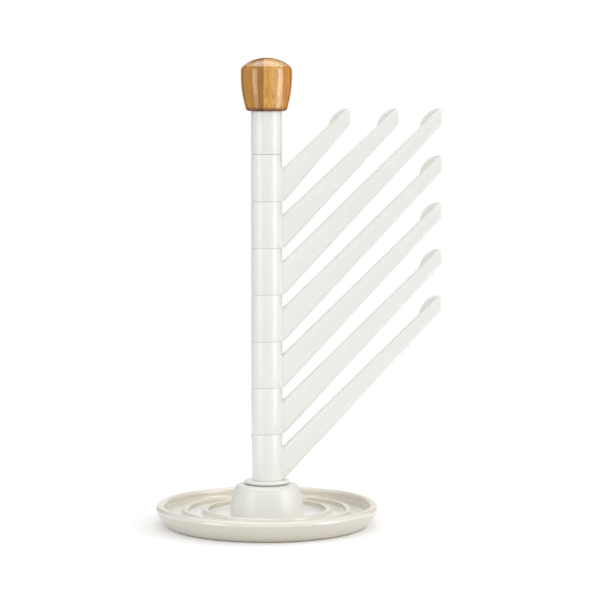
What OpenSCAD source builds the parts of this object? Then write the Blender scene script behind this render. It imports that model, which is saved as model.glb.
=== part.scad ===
// Bottle drying rack: a round drip tray with two ring ridges, a pedestal, a
// column of seven rings that each carry one slanted arm, and a turned knob.
// Millimetres. The origin is the centre of the grip ring's underside, +Z is up
// and the arms point along +X, lined up one above the other as when stored.

/* [Column] */
// Outer diameter of the arm rings and the collar
ring_d = 22; // [20:0.5:26]
// Height from one ring to the next
ring_pitch = 33.2; // [30:0.2:38]
// Open joint between one ring and the next
ring_gap = 0.3; // [0.2:0.05:0.5]
// Bevel on the edges of the rings at the joints
ring_bevel = 0.3; // [0.2:0.1:0.8]
// Wall of the rings and the collar
ring_wall = 2.2; // [1.6:0.1:2.6]
// Thickness of the closed top of each ring
ring_top_t = 2.6; // [2:0.1:4]
// Thickness of the ribs inside the rings
ring_rib_t = 1.4; // [1:0.1:2]
// Height of the plain collar under the knob
collar_h = 30.6; // [20:0.2:45]
// Bevel on the collar's lower edge
collar_bevel = 0.8; // [0.3:0.1:1.2]

/* [Arms] */
// Reach of the top arm from the column's axis
reach_top = 59.4; // [52:0.2:66]
// Reach of the second arm
reach_second = 93.8; // [84:0.2:102]
// Reach of the other arms
reach_long = 124.4; // [110:0.2:136]
// Depth of the arm's top line under the ring's top face, at the ring
arm_drop = 9.8; // [8:0.2:13]
// Flat left under the arm, beside its ring
arm_heel = 1.7; // [1:0.1:3]
// Width of the arm at the ring
arm_root_w = 10.6; // [9:0.2:13]
// Width of the arm at its tip
arm_tip_w = 8.2; // [7:0.2:10]
// Height of the arm's upright end face
tip_h = 10.9; // [9.5:0.1:13]
// Length of the level land on top of the tip
tip_land = 2.5; // [1.5:0.1:4]
// Rounding of the tip's lower corner
tip_round = 5; // [3:0.5:6]
// Rounding of the edges of the end face
tip_edge = 1.3; // [0.6:0.1:1.8]
// Radius of the fin on top of the tip
fin_r = 15.4; // [13:0.2:18]
// Thickness of the fin
fin_t = 2.6; // [2:0.1:3.4]
// Bevel on the fin's edge
fin_bevel = 0.6; // [0.3:0.1:0.9]
// Distance of the fin's crown from the end face
fin_back = 0.4; // [0:0.1:2]
// How far the fin's crown stands over the land on the tip
fin_rise = 0.4; // [0.2:0.1:1]
// Width of the drain groove along the arm
groove_w = 3.4; // [2.4:0.1:4.4]
// Depth of the drain groove
groove_depth = 1.3; // [0.8:0.1:1.6]
// How far the groove's round end runs back into the ring's wall
groove_bite = 0.6; // [0:0.1:0.9]

/* [Spindle] */
// Diameter of the steel spindle
rod_d = 8; // [6:0.5:8.5]
// Radial clearance of the rings on the spindle
running_gap = 0.05; // [0.02:0.01:0.1]
// Radial clearance of the fixed pieces on the spindle
fixed_gap = 0.1; // [0.05:0.01:0.2]
// Wall of the inner sleeves that ride on the spindle
sleeve_wall = 2; // [1.5:0.1:2.2]
// Outer diameter of the glide washers between the rings
glide_d = 15; // [13:0.5:16]
// Thickness of the glide washers
glide_t = 1; // [0.8:0.1:1.5]
// Outer diameter of the steel washer under the tray
clamp_d = 22; // [18:0.5:24]
// Radial room round the steel washer in its pocket
clamp_room = 2; // [1:0.1:3]
// Thickness of the steel washer
clamp_t = 1.6; // [1:0.1:2.5]
// Size across flats of the nut under the tray
nut_flats = 13; // [12:0.5:15]
// Height of the nut
nut_h = 6.5; // [4:0.5:6.5]
// Length of spindle showing past the nut
rod_tail = 1.4; // [0.6:0.2:1.8]
// Bevel on the spindle's ends and the nut's corners
steel_bevel = 0.8; // [0.4:0.1:1]

/* [Knob] */
// Largest diameter of the knob
knob_d = 36.4; // [32:0.2:42]
// Height of the knob
knob_h = 37.6; // [33:0.2:44]
// Diameter of the knob just over its lower edge
knob_foot_d = 30.2; // [27:0.2:31]
// Height of the knob's widest line over its underside
knob_waist_h = 26.6; // [22:0.2:28]
// Radius of the knob's domed top
knob_dome_r = 27; // [24:0.5:40]
// Rounding between the dome and the side
knob_shoulder_r = 4.4; // [3:0.2:6]
// Rounding of the lower edge
knob_edge_r = 3; // [1:0.2:4]
// Outer diameter of the threaded insert in the knob
insert_d = 11.5; // [11:0.5:14]
// Length of the insert
insert_l = 15; // [10:0.5:18]
// Room left over the spindle's end inside the insert
insert_room = 1.5; // [0.5:0.5:3]

/* [Column foot] */
// Diameter of the flange at the foot of the column
flange_d = 33; // [30:0.5:36]
// Thickness of the flange
flange_t = 1.9; // [1.5:0.1:3]
// Rounding of the flange's edge
flange_edge = 0.6; // [0.2:0.1:0.7]
// Diameter of the neck under the flange
neck_d = 26; // [26:0.5:30]
// Height of the shadow gap round the neck
neck_h = 1; // [0.6:0.1:2]
// Diameter of the plug that sits in the pedestal
plug_d = 24; // [20:0.5:24.5]
// Length of the plug
plug_l = 9.5; // [6:0.5:10]

/* [Pedestal] */
// Diameter of the pedestal at the tray
pedestal_d = 52.6; // [50:0.2:60]
// Diameter of the pedestal at its rounded shoulder
pedestal_top_d = 46.4; // [44:0.2:50]
// Height of the pedestal over the tray's floor
pedestal_h = 22; // [20:0.5:30]
// Rounding of the pedestal's shoulder
shoulder_r = 3.8; // [3.2:0.2:5]
// How far the pedestal's side bows outwards
pedestal_bow = 1; // [0:0.1:1.4]
// Wall of the pedestal
pedestal_wall = 2.4; // [2:0.1:3]
// Thickness of the ribs inside the pedestal
pedestal_rib_t = 1.6; // [1.2:0.1:2.4]
// Thickness of the socket's floor
socket_floor_t = 3.2; // [2:0.1:4]
// Radial clearance of the plug in its socket
socket_gap = 0.15; // [0.05:0.05:0.3]

/* [Tray] */
// Diameter of the tray over its rim
tray_d = 160; // [150:1:180]
// Height of the rim over the table
tray_h = 15.8; // [14:0.2:20]
// Diameter of the tray's foot
tray_foot_d = 142; // [134:1:148]
// Radius of the rounded rim
rim_r = 3.2; // [2.6:0.1:3.8]
// Step under the rim
rim_step = 0.5; // [0.2:0.1:1]
// How far the outer wall bows outwards
tray_bow = 1.1; // [0:0.1:1.6]
// Height of the troughs' floor over the table
floor_h = 8; // [7:0.2:9]
// Wall of the tray, thick as in glazed stoneware
tray_wall = 4; // [3.4:0.1:4.4]
// Rounding between the floor and the rim
trough_r = 3; // [1.5:0.1:3.4]
// Diameter of the outer ridge
outer_ridge_d = 117; // [112:1:120]
// Diameter of the inner ridge
inner_ridge_d = 88; // [84:1:92]
// Height of the ridges over the floor
ridge_h = 4.4; // [3:0.2:5.4]
// Width of the ridges
ridge_w = 4.8; // [4:0.2:6]
// Rounding at the foot of the ridges
ridge_foot_r = 1.4; // [0.6:0.1:1.6]
// Diameter of the raised seat under the pedestal
seat_d = 34; // [33.5:0.5:36]
// Rounding of the seat's edges
seat_round = 2; // [1:0.1:2.2]
// Width of the tray's foot
foot_w = 4.6; // [4.2:0.1:6]
// Rounding between the foot and the underside
foot_blend = 1.6; // [0.6:0.1:2.4]
// Rounding of the foot's inner edge
foot_edge = 0.6; // [0.2:0.1:0.6]

/* [Grip ring] */
// Width of the grip ring under the foot
grip_w = 2.6; // [2:0.1:3]
// Thickness of the grip ring
grip_t = 1.6; // [1.2:0.1:2]
// How far the grip ring stands out of the foot
grip_out = 0.6; // [0.3:0.1:1]

/* [Hidden] */
$fn = 96;

white_abs = [0.93, 0.93, 0.92];
cream_glaze = [0.9, 0.88, 0.82];
bamboo = [0.8, 0.55, 0.29];
steel = [0.72, 0.73, 0.75];
brass = [0.8, 0.66, 0.35];
nylon = [0.86, 0.86, 0.84];
silicone = [0.75, 0.74, 0.71];

arm_count = 7;
ring_r = ring_d / 2;
ring_h = ring_pitch - ring_gap;
rod_r = rod_d / 2;
sleeve_r = rod_r + running_gap + sleeve_wall;
glide_seat = glide_t - ring_gap;
rib_count = 6;

// Levels from the table up
floor_under = floor_h - tray_wall;
seat_top = floor_h + pedestal_h - plug_l - socket_floor_t;
seat_ceiling = seat_top - tray_wall;
pedestal_top = floor_h + pedestal_h;
socket_floor = seat_top + socket_floor_t;
column_base = pedestal_top + neck_h + flange_t;
collar_base = column_base + arm_count * ring_pitch + ring_gap;
knob_base = collar_base + collar_h;
nut_base = seat_ceiling - clamp_t - nut_h;
rod_base = nut_base - rod_tail;
rod_top = knob_base + insert_l - insert_room;

// Seats shared by two pieces
seat_pocket_r = clamp_d / 2 + clamp_room;
socket_r = plug_d / 2 + socket_gap;
foot_r = tray_foot_d / 2;
grip_mid_r = foot_r - foot_w / 2;
rim_mid_r = tray_d / 2 - rim_r;
rim_mid_z = tray_h - rim_r;
wall_top = [tray_d / 2 - rim_step, rim_mid_z - rim_step];

// The ring that carries arm i, counted from the top, and the arm's rise over it
function ring_top(i) = column_base + (arm_count + 1 - i) * ring_pitch;
function arm_reach(i) = i == 1 ? reach_top : i == 2 ? reach_second : reach_long;
function arm_rise(i) = min(i, 3) * ring_pitch;

// Points on an arc, and on a shallow bow between two points
function arc(centre, r, from, to, steps) =
    [for (k = [0:steps]) let (a = from + (to - from) * k / steps) centre + r * [cos(a), sin(a)]];
function bow(p, q, sag, steps) =
    [for (k = [0:steps]) let (t = k / steps, d = q - p)
        p + t * d + 4 * sag * t * (1 - t) * [d.y, -d.x] / norm(d)];

// Heights of the arm's top and bottom lines at a distance x from the axis
function slope(p, q) = (q.y - p.y) / (q.x - p.x);
function arm_top(x, reach, rise) =
    let (p = [ring_r, -arm_drop], q = [reach - tip_land, rise - fin_rise])
    min(p.y + slope(p, q) * (x - p.x), q.y);
function arm_under(x, reach, rise) =
    let (p = [ring_r + arm_heel, -ring_h], q = [reach, rise - tip_h])
    p.y + slope(p, q) * (x - p.x);
function under_angle(reach, rise) =
    atan(slope([ring_r + arm_heel, -ring_h], [reach, rise - tip_h]));
function top_angle(reach, rise) =
    atan(slope([ring_r, -arm_drop], [reach - tip_land, rise - fin_rise]));

// Half width of the arm, which tapers to the tip
function arm_half_w(x, reach) =
    (arm_root_w + (arm_tip_w - arm_root_w) * (x - ring_r) / (reach - ring_r)) / 2;

// A closed outline between an ellipse and a rectangle
function soft_box(half_w, half_h, squareness, steps) =
    [for (k = [0:steps - 1]) let (a = 360 * k / steps, c = cos(a), s = sin(a))
        [half_w * sign(c) * pow(abs(c), 2 / squareness), half_h * sign(s) * pow(abs(s), 2 / squareness)]];

// One upright slice of the arm
module arm_slice(x, half_w, under, top) {
    slice_t = 0.02;
    translate([x - slice_t, 0, (under + top) / 2])
        rotate([90, 0, 90])
            linear_extrude(slice_t)
                polygon(soft_box(half_w, (top - under) / 2, 3.4, 32));
}

// The tapered arm, with its rounded lower corner and softened end face
module arm_bar(reach, rise) {
    angle = under_angle(reach, rise);
    corner = [reach - tip_round,
        arm_under(reach - tip_round, reach, rise) + tip_round / cos(angle)];
    root_x = sqrt(pow(ring_r - ring_wall / 2, 2) - pow(arm_root_w / 2, 2));
    difference() {
        hull() {
            arm_slice(root_x, arm_half_w(root_x, reach),
                arm_under(root_x, reach, rise), arm_top(root_x, reach, rise));
            for (p = arc(corner, tip_round, angle - 90, -25, 3))
                arm_slice(p.x, arm_half_w(p.x, reach), p.y, arm_top(p.x, reach, rise));
            arm_slice(reach - tip_edge / 3, arm_half_w(reach, reach) - tip_edge / 3,
                corner.y - tip_round / 5, arm_top(reach, reach, rise) - tip_edge / 4);
            arm_slice(reach, arm_half_w(reach, reach) - tip_edge,
                corner.y, arm_top(reach, reach, rise) - tip_edge);
        }
        translate([0, -ring_d, -ring_h - ring_d * 2])
            cube([ring_d * 2, ring_d * 2, ring_d * 2]);
    }
}

// The thin quarter round on the tip that keeps a bottle's lip from sliding off
module arm_fin(reach, rise) {
    centre = [reach - fin_back, rise - fin_r];
    far_x = centre.x - fin_r - 1;
    end_x = reach - tip_edge;
    end_z = rise - tip_edge;
    intersection() {
        translate([centre.x, 0, centre.y])
            rotate([90, 0, 0])
                rotate_extrude()
                    polygon([[0, -fin_t / 2], [fin_r - fin_bevel, -fin_t / 2],
                        [fin_r, fin_bevel - fin_t / 2], [fin_r, fin_t / 2 - fin_bevel],
                        [fin_r - fin_bevel, fin_t / 2], [0, fin_t / 2]]);
        rotate([90, 0, 0])
            linear_extrude(fin_t * 2, center = true)
                polygon(concat([[far_x, arm_top(far_x, reach, rise) - tip_h / 2], [end_x, rise - tip_h / 2]],
                    arc([end_x - tip_edge, end_z], tip_edge, 0, 80, 4),
                    [[end_x - tip_edge, rise + 1], [far_x, rise + 1]]));
    }
}

// The round-bottomed groove, with ball ends, that lets water run down the arm's top
module drain_groove(reach, rise) {
    angle = top_angle(reach, rise);
    r = groove_w / 2;
    length = (reach - fin_back - fin_r - r - ring_r) / cos(angle) + groove_bite;
    translate([ring_r, 0, arm_top(ring_r, reach, rise)])
        rotate([0, 90 - angle, 0])
            translate([groove_depth - r, 0, -groove_bite])
                rotate_extrude($fn = 48)
                    polygon(concat(arc([0, r], r, -90, 0, 6), arc([0, length - r], r, 0, 90, 6)));
}

// A ring's outer form, with beveled edges, from its foot at 0 down or up
module beveled_ring(height, low_bevel, high_bevel) {
    rotate_extrude()
        polygon([[0, 0], [ring_r - low_bevel, 0], [ring_r, low_bevel],
            [ring_r, height - high_bevel], [ring_r - high_bevel, height], [0, height]]);
}

// What is cored out of a ring from below: all but its wall, sleeve, ribs and top
module ring_core(height) {
    overrun = 1;
    difference() {
        translate([0, 0, -overrun])
            cylinder(h = height - ring_top_t + overrun, r = ring_r - ring_wall);
        translate([0, 0, -2 * overrun])
            cylinder(h = height + overrun, r = sleeve_r);
        for (k = [0:rib_count - 1])
            rotate([0, 0, (k + 0.5) * 360 / rib_count])
                translate([0, -ring_rib_t / 2, -2 * overrun])
                    cube([ring_r, ring_rib_t, height + overrun]);
    }
}

// Recess in a top face that holds a glide washer
module glide_recess() {
    translate([0, 0, -glide_seat])
        cylinder(h = glide_seat + 1, d = glide_d + 2 * fixed_gap);
}

// A bore on the spindle's axis
module spindle_bore(from, to, gap) {
    translate([0, 0, from])
        cylinder(h = to - from, r = rod_r + gap);
}

// One ring with its arm, moulded in one piece
module ring_arm(i) {
    reach = arm_reach(i);
    rise = arm_rise(i);
    color(white_abs)
        translate([0, 0, ring_top(i)])
            difference() {
                union() {
                    translate([0, 0, -ring_h])
                        beveled_ring(ring_h, ring_bevel, ring_bevel);
                    arm_bar(reach, rise);
                    arm_fin(reach, rise);
                }
                translate([0, 0, -ring_h])
                    ring_core(ring_h);
                glide_recess();
                spindle_bore(-ring_h - 1, 1, running_gap);
                drain_groove(reach, rise);
            }
}

// A low-friction washer that stands proud of the face under ring i
module glide_washer(i) {
    color(nylon)
        translate([0, 0, ring_top(i) - glide_seat])
            difference() {
                cylinder(h = glide_t, d = glide_d);
                spindle_bore(-1, glide_t + 1, fixed_gap);
            }
}

// The plain sleeve between the top ring and the knob
module collar() {
    color(white_abs)
        translate([0, 0, collar_base])
            difference() {
                beveled_ring(collar_h, collar_bevel, ring_bevel);
                ring_core(collar_h);
                spindle_bore(-1, collar_h + 1, fixed_gap);
            }
}

// The turned knob, with a blind hole for its insert
module knob() {
    knob_r = knob_d / 2;
    waist = [knob_r, knob_waist_h];
    foot = [knob_foot_d / 2, knob_edge_r];
    dome_z = knob_h - knob_dome_r;
    shoulder_x = knob_r - knob_shoulder_r;
    turn = acos(shoulder_x / (knob_dome_r - knob_shoulder_r));
    shoulder = [shoulder_x, dome_z + (knob_dome_r - knob_shoulder_r) * sin(turn)];
    color(bamboo)
        translate([0, 0, knob_base])
            difference() {
                rotate_extrude()
                    polygon(concat([[0, 0]],
                        arc(foot - [knob_edge_r, 0], knob_edge_r, -90, -8, 5),
                        bow(foot, waist, knob_h / 40, 8),
                        arc(shoulder, knob_shoulder_r, 0, turn, 5),
                        [for (p = arc([0, dome_z], knob_dome_r, turn, 90, 9)) if (p.x < shoulder.x) p]));
                translate([0, 0, -1])
                    cylinder(h = insert_l + 1, d = insert_d + 2 * fixed_gap);
            }
}

// The insert that screws the knob onto the spindle
module knob_insert() {
    color(brass)
        translate([0, 0, knob_base])
            difference() {
                cylinder(h = insert_l, d = insert_d);
                spindle_bore(-1, insert_l + 1, fixed_gap);
            }
}

// The steel spindle that everything is threaded on
module spindle() {
    color(steel)
        rotate_extrude()
            polygon([[0, rod_base], [rod_r - steel_bevel, rod_base], [rod_r, rod_base + steel_bevel],
                [rod_r, rod_top - steel_bevel], [rod_r - steel_bevel, rod_top], [0, rod_top]]);
}

// The washer that spreads the nut's load under the tray
module clamp_washer() {
    color(steel)
        translate([0, 0, seat_ceiling - clamp_t])
            difference() {
                cylinder(h = clamp_t, d = clamp_d);
                spindle_bore(-1, clamp_t + 1, fixed_gap);
            }
}

// The nut that holds the stack together from below
module clamp_nut() {
    corner_d = nut_flats / cos(30);
    cone_d = corner_d - 2 * steel_bevel;
    color(steel)
        translate([0, 0, nut_base])
            difference() {
                intersection() {
                    cylinder(h = nut_h, d = corner_d, $fn = 6);
                    union() {
                        cylinder(h = steel_bevel, d1 = cone_d, d2 = cone_d + 4 * steel_bevel);
                        translate([0, 0, steel_bevel])
                            cylinder(h = nut_h, d = cone_d + 4 * steel_bevel);
                    }
                }
                spindle_bore(-1, nut_h + 1, fixed_gap);
            }
}

// The foot of the column: a flange on a short neck, with a plug in the pedestal
module column_foot() {
    flange_r = flange_d / 2;
    flange_z = column_base - flange_t;
    color(white_abs)
        difference() {
            rotate_extrude()
                polygon(concat([[0, pedestal_top - plug_l + socket_gap],
                        [plug_d / 2, pedestal_top - plug_l + socket_gap], [plug_d / 2, pedestal_top],
                        [neck_d / 2, pedestal_top], [neck_d / 2, flange_z]],
                    arc([flange_r - flange_edge, flange_z + flange_edge], flange_edge, -90, 0, 4),
                    arc([flange_r - flange_edge, column_base - flange_edge], flange_edge, 0, 90, 4),
                    [[0, column_base]]));
            translate([0, 0, column_base])
                glide_recess();
            spindle_bore(socket_floor - 1, column_base + 1, fixed_gap);
        }
}

// Radial ribs, from one radius to another and between two levels
module ribs(count, thickness, from_r, to_r, from_z, to_z) {
    for (k = [0:count - 1])
        rotate([0, 0, k * 360 / count])
            translate([from_r, -thickness / 2, from_z])
                cube([to_r - from_r, thickness, to_z - from_z]);
}

// The hollow pedestal, whose socket holds the column's foot
module pedestal() {
    base_r = pedestal_d / 2;
    top_r = pedestal_top_d / 2;
    side_h = pedestal_h - shoulder_r;
    lean = atan((base_r - top_r) / side_h) + atan(4 * pedestal_bow / side_h);
    shoulder = [top_r - shoulder_r, pedestal_top - shoulder_r];
    side_end = shoulder + shoulder_r * [cos(lean), sin(lean)];
    inner_end = shoulder + (shoulder_r - pedestal_wall) * [cos(lean), sin(lean)];
    tube_r = socket_r + pedestal_wall;
    under_top = pedestal_top - pedestal_wall;
    color(white_abs)
        difference() {
            union() {
                rotate_extrude()
                    polygon(concat(
                        bow([base_r, floor_h], side_end, pedestal_bow, 10),
                        arc(shoulder, shoulder_r, lean + 8, 90, 7),
                        [[0, pedestal_top], [0, seat_top], [tube_r, seat_top], [tube_r, under_top],
                            [shoulder.x, under_top]],
                        arc(shoulder, shoulder_r - pedestal_wall, 75, lean + 15, 3),
                        bow(inner_end, [base_r - pedestal_wall, floor_h], -pedestal_bow, 10)));
                ribs(rib_count, pedestal_rib_t, tube_r - 1, top_r - pedestal_wall / 2,
                    seat_top, under_top + 1);
            }
            translate([0, 0, socket_floor])
                cylinder(h = plug_l + 1, r = socket_r);
            spindle_bore(seat_top - 1, socket_floor + 1, fixed_gap);
        }
}

// Section of one ridge, rounded on top and at its feet
module ridge_section() {
    top_r = ridge_w / 2;
    side_x = ridge_w / 2;
    polygon(concat([[-side_x - ridge_foot_r, -tray_wall / 2]],
        arc([-side_x - ridge_foot_r, ridge_foot_r], ridge_foot_r, -90, 0, 4),
        arc([0, ridge_h - top_r], top_r, 180, 0, 12),
        arc([side_x + ridge_foot_r, ridge_foot_r], ridge_foot_r, -180, -90, 4),
        [[side_x + ridge_foot_r, -tray_wall / 2]]));
}

// Section of the tray from the spindle's axis to the rim
module tray_section() {
    foot_in = foot_r - foot_w;
    trough_x = rim_mid_r - rim_r - trough_r;
    seat_r = seat_d / 2;
    grip_in = grip_mid_r - grip_w / 2 - fixed_gap;
    grip_ex = grip_mid_r + grip_w / 2 + fixed_gap;
    polygon(concat(
        [[0, seat_ceiling], [seat_pocket_r, seat_ceiling], [seat_pocket_r, floor_under]],
        arc([foot_in - foot_blend, floor_under - foot_blend], foot_blend, 90, 0, 4),
        arc([foot_in + foot_edge, grip_out + foot_edge], foot_edge, 180, 270, 3),
        [[grip_in, grip_out], [grip_in, grip_t], [grip_ex, grip_t], [grip_ex, grip_out]],
        bow([foot_r, grip_out], wall_top, tray_bow, 10),
        arc([rim_mid_r, rim_mid_z], rim_r, 0, 180, 16),
        arc([trough_x, floor_h + trough_r], trough_r, 0, -90, 6),
        arc([seat_r + seat_round, floor_h + seat_round], seat_round, -90, -180, 4),
        arc([seat_r - seat_round, seat_top - seat_round], seat_round, 0, 90, 4),
        [[0, seat_top]]));
}

// The glazed drip tray, with its two ring ridges and its foot
module drip_tray() {
    color(cream_glaze)
        difference() {
            union() {
                rotate_extrude($fn = 144)
                    tray_section();
                for (d = [outer_ridge_d, inner_ridge_d])
                    rotate_extrude($fn = 144)
                        translate([d / 2, floor_h])
                            ridge_section();
            }
            spindle_bore(seat_ceiling - 1, seat_top + 1, fixed_gap);
        }
}

// The soft ring that the rack stands on
module grip_ring() {
    color(silicone)
        difference() {
            cylinder(h = grip_t, r = grip_mid_r + grip_w / 2, $fn = 144);
            translate([0, 0, -1])
                cylinder(h = grip_t + 2, r = grip_mid_r - grip_w / 2, $fn = 144);
        }
}

grip_ring();
drip_tray();
pedestal();
column_foot();
spindle();
clamp_washer();
clamp_nut();
ring_arm(1);  // arm_1
ring_arm(2);  // arm_2
ring_arm(3);  // arm_3
ring_arm(4);  // arm_4
ring_arm(5);  // arm_5
ring_arm(6);  // arm_6
ring_arm(7);  // arm_7
glide_washer(1);  // glide_washer_1
glide_washer(2);  // glide_washer_2
glide_washer(3);  // glide_washer_3
glide_washer(4);  // glide_washer_4
glide_washer(5);  // glide_washer_5
glide_washer(6);  // glide_washer_6
glide_washer(7);  // glide_washer_7
glide_washer(8);  // glide_washer_8
collar();
knob_insert();
knob();
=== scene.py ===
import math

import bmesh
import bpy
from mathutils import Matrix, Vector


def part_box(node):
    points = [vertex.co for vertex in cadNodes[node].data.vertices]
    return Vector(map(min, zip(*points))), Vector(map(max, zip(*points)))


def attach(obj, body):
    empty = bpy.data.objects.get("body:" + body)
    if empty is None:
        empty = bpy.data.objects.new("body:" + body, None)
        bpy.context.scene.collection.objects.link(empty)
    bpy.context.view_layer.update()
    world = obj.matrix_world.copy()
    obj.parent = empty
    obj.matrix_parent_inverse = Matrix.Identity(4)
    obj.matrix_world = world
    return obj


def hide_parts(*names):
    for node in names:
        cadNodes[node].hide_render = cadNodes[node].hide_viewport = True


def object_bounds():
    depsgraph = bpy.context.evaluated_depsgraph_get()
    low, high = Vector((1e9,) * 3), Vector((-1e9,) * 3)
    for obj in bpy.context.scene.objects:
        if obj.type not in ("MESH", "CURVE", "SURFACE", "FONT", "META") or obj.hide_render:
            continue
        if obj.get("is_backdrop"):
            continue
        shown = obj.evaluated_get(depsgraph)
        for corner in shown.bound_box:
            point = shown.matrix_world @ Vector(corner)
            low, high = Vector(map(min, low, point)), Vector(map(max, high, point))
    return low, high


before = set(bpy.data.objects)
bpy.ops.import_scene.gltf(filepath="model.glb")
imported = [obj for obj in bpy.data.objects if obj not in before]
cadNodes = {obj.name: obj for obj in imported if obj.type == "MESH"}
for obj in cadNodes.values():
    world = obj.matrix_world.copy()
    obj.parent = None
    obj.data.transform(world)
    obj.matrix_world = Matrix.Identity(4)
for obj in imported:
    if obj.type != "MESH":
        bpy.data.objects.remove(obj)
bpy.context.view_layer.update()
mm = 0.001
print("frame loaded:", len(cadNodes), "nodes")

# camera, from a fit to the photograph

view = {"lens": 137.24, "sensor": 36, "place": (23.7, -1625.8, 292.5), "tiltDown": 4.59,
        "clip": (50, 30000)}

cameraData = bpy.data.cameras.new("studioCamera")
cameraData.lens = view["lens"]
cameraData.sensor_width = view["sensor"]
cameraData.clip_start, cameraData.clip_end = view["clip"][0] * mm, view["clip"][1] * mm
camera = bpy.data.objects.new("studioCamera", cameraData)
camera.location = Vector(view["place"]) * mm
camera.rotation_euler = (math.radians(90 - view["tiltDown"]), 0, 0)
bpy.context.scene.collection.objects.link(camera)
bpy.context.scene.camera = camera
bpy.context.scene.view_settings.view_transform = "Standard"
print("camera placed")

# outlines and meshes

weld = 1e-7   # metres within which two points are one
creaseAngle = math.radians(32)   # sharper edges than this stay crisp


def arcPoints(centre, radius, start, end, steps):
    points = []
    for k in range(steps + 1):
        a = math.radians(start + (end - start) * k / steps)
        points.append((centre[0] + radius * math.cos(a), centre[1] + radius * math.sin(a)))
    return points


# a shallow bow between two points, to the right of the way from first to last
def bowPoints(first, last, sag, steps):
    run, climb = last[0] - first[0], last[1] - first[1]
    length = math.hypot(run, climb)
    points = []
    for k in range(steps + 1):
        t = k / steps
        out = 4 * sag * t * (1 - t) / length
        points.append((first[0] + run * t + climb * out, first[1] + climb * t - run * out))
    return points


# corners are (across, up, radius); each one with a radius is rounded
def roundedOutline(corners, steps=5):
    points = []
    for k, (x, z, radius) in enumerate(corners):
        if not radius:
            points.append((x, z))
            continue
        before, after = corners[k - 1], corners[(k + 1) % len(corners)]
        inward = Vector((before[0] - x, before[1] - z)).normalized()
        outward = Vector((after[0] - x, after[1] - z)).normalized()
        half = inward.angle(outward) / 2
        reach = radius / math.tan(half)
        start, end = Vector((x, z)) + inward * reach, Vector((x, z)) + outward * reach
        centre = Vector((x, z)) + (inward + outward).normalized() * radius / math.sin(half)
        for step in range(steps + 1):
            spoke = (start - centre).normalized().slerp((end - centre).normalized(), step / steps)
            points.append(tuple(centre + spoke * radius))
    return points


def formObject(name, form):
    mesh = bpy.data.meshes.new(name)
    form.to_mesh(mesh)
    form.free()
    piece = bpy.data.objects.new(name, mesh)
    bpy.context.scene.collection.objects.link(piece)
    return piece


# turns a closed outline in (radius, height) about the column's axis
def turned(name, outline, segments=128):
    form = bmesh.new()
    loop = [form.verts.new((max(r, 0) * mm, 0, z * mm)) for r, z in outline]
    edges = []
    for a, b in zip(loop, loop[1:] + loop[:1]):
        if a.co.x > weld or b.co.x > weld:
            edges.append(form.edges.new((a, b)))
    bmesh.ops.spin(form, geom=loop + edges, cent=(0, 0, 0), axis=(0, 0, 1), dvec=(0, 0, 0),
                   angle=math.tau, steps=segments, use_merge=True)
    bmesh.ops.remove_doubles(form, verts=form.verts, dist=weld)
    bmesh.ops.recalc_face_normals(form, faces=form.faces)
    return formObject(name, form)


# thin upright plates set round the axis, from one radius to another
def spokes(name, count, thickness, inner, outer, low, high, turn):
    form = bmesh.new()
    for k in range(count):
        made = bmesh.ops.create_cube(form, size=1)["verts"]
        a = math.tau * (k + turn) / count
        for vert in made:
            x = (inner + outer) / 2 + vert.co.x * (outer - inner)
            y = vert.co.y * thickness
            z = (low + high) / 2 + vert.co.z * (high - low)
            vert.co = Vector((x * math.cos(a) - y * math.sin(a),
                              x * math.sin(a) + y * math.cos(a), z)) * mm
    return formObject(name, form)


# joins other closed meshes to the first one, or cuts them out of it, and removes them
def combine(base, others, operation="UNION"):
    for other in others:
        join = base.modifiers.new("join", "BOOLEAN")
        join.object, join.operation, join.solver = other, operation, "MANIFOLD"
    bpy.context.view_layer.update()
    solid = base.evaluated_get(bpy.context.evaluated_depsgraph_get())
    mesh = bpy.data.meshes.new_from_object(solid)
    base.modifiers.clear()
    base.data = mesh
    for other in others:
        bpy.data.objects.remove(other)
    return base


# material, shading and body of a piece; hides the CAD node that it stands for
def dress(piece, material, body, node):
    piece.data.materials.clear()
    piece.data.materials.append(material)
    piece.data.shade_smooth()
    piece.data.set_sharp_from_angle(angle=creaseAngle)
    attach(piece, body)
    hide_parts(node)


def levels(node):
    low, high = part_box(node)
    return low.z / mm, high.z / mm


# materials

def linearColor(code):
    channels = [int(code[k:k + 2], 16) / 255 for k in (1, 3, 5)]
    return [c / 12.92 if c <= 0.04045 else ((c + 0.055) / 1.055) ** 2.4 for c in channels] + [1]


# adds a node, sets its sockets or properties, and links its inputs
def addNode(tree, kind, settings=None, links=None):
    node = tree.nodes.new(kind)
    for key, value in (settings or {}).items():
        if isinstance(key, int) or key in node.inputs:
            node.inputs[key].default_value = value
        else:
            setattr(node, key, value)
    for key, source in (links or {}).items():
        tree.links.new(source, node.inputs[key])
    return node


def newMaterial(name, settings):
    material = bpy.data.materials.new(name)
    material.use_nodes = True
    tree = material.node_tree
    shader = tree.nodes["Principled BSDF"]
    for socket, value in settings.items():
        shader.inputs[socket].default_value = value
    coordinates = tree.nodes.new("ShaderNodeTexCoord").outputs["Object"]
    return material, tree, shader, coordinates


# noise scale for a feature of that many millimetres, in a space measured in metres
def perMetre(size):
    return 1000 / size


# Injection-moulded ABS from a fine satin tool: white with a touch of warm grey, soft broad
# highlights, no mirror image anywhere. The pedestal comes a shade greyer than the rest.
absFinish = {
    "shader": {"IOR": 1.53, "Subsurface Weight": 0.05, "Subsurface Scale": 0.0012,
               "Subsurface Radius": (1.0, 0.95, 0.85)},
    "column": ("#EDEDE9", "#E9E9E4"), "base": ("#E7E7E1", "#E3E3DC"), "cloud": 26,
    "smear": 9, "smearLevels": (0.3, 0.7), "rough": (0.34, 0.42)}


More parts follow.
